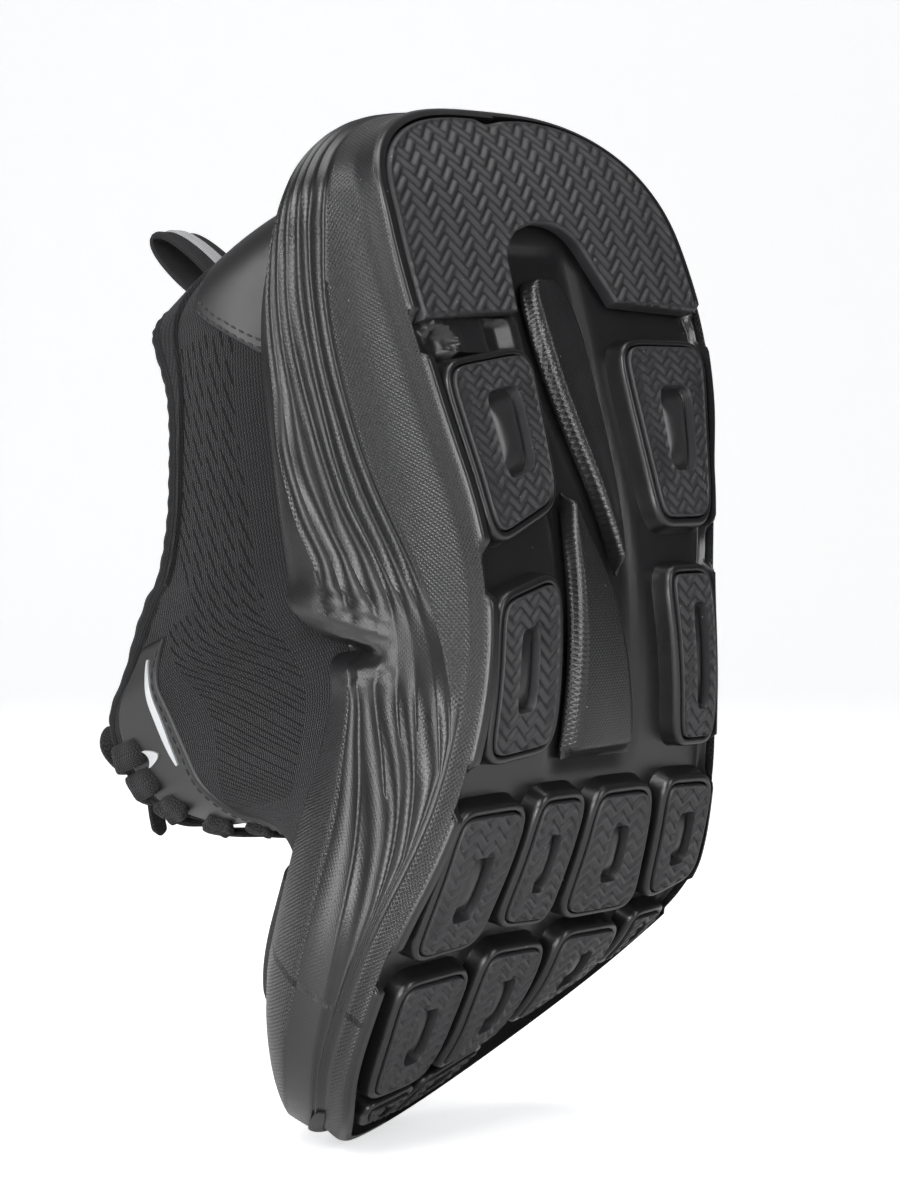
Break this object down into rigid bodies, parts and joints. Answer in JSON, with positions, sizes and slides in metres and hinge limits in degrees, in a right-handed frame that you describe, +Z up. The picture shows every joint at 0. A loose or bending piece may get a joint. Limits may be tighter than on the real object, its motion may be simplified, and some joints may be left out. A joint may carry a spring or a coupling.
{
  "type": "running shoe",
  "caption": "Right-foot cushioned running shoe bent at its middle, with a deep foam sole, rubber tread pads, knit upper, laces and a heel pull tab.",
  "frame": {"origin": "centre of the bounding box on the ground, where the toe stands", "axes": "+Z up, with the heel at the top; +Y towards the medial side of this right shoe; +X towards the side of the upper, with the sole facing -X"},
  "size_m": [0.1686, 0.13, 0.2664],
  "materials": {
    "foam": "satin black moulded foam",
    "rubber": "matte black moulded rubber",
    "knit": "black knit",
    "overlay": "smooth black film",
    "lining": "black padded cloth",
    "lace": "black flat lace",
    "webbing": "black ribbed webbing",
    "stripe": "light grey woven stripe",
    "reflector": "silver reflective film",
    "board": "stitched lasting board",
    "stiffener": "moulded sheet"
  },
  "bodies": {
    "rearfoot": {"midsole_rear": "foam", "midsole_flex": "foam", "heel_pad": "rubber", "pad_arch_medial": "rubber", "pad_arch_lateral": "rubber", "pad_waist_medial": "rubber", "pad_waist_medial_front": "rubber", "pad_waist_lateral": "rubber", "pad_waist_lateral_front": "rubber", "arch_bar_rear": "foam", "arch_bar_front": "foam", "strobel_board": "board", "insole": "lining", "quarter": "knit", "heel_counter": "stiffener", "heel_overlay": "overlay", "collar_lining": "lining", "collar_binding": "overlay", "vamp_medial": "knit", "vamp_lateral": "knit", "eyestay_medial": "overlay", "eyestay_lateral": "overlay", "reflector_medial": "reflector", "tongue": "lining", "lace_1": "lace", "lace_2": "lace", "lace_3": "lace", "lace_4": "lace", "lace_5": "lace", "lace_knot": "lace"},
    "forefoot": {"midsole_front": "foam", "pad_fore_1a": "rubber", "pad_fore_1b": "rubber", "pad_fore_1c": "rubber", "pad_fore_1d": "rubber", "pad_fore_2a": "rubber", "pad_fore_2b": "rubber", "pad_fore_2c": "rubber", "pad_fore_2d": "rubber", "pad_toe_a": "rubber", "pad_toe_b": "rubber", "toe_bumper": "rubber", "toe_box": "knit"},
    "pull_tab": {"pull_tab": "webbing", "pull_tab_stripe": "stripe"}
  },
  "joints": [
    {"name": "toe_flex", "type": "hinge", "parent": "rearfoot", "child": "forefoot", "pos_m": [-0.06262, 0.00018, 0.12387], "axis": [0, 1, 0], "range_deg": [-5, 40], "deforming": ["midsole_flex", "pad_waist_medial_front", "pad_waist_lateral_front", "arch_bar_front", "strobel_board", "insole", "vamp_medial", "vamp_lateral", "eyestay_medial", "eyestay_lateral", "tongue", "lace_1", "lace_2", "lace_3", "lace_4", "lace_5", "reflector_medial"]},
    {"name": "pull_tab_swing", "type": "hinge", "parent": "rearfoot", "child": "pull_tab", "pos_m": [0.05413, -0.00082, 0.22262], "axis": [0, 1, 0], "range_deg": [-25, 25], "stiffness_Nm_per_rad": 0.02}
  ]
}
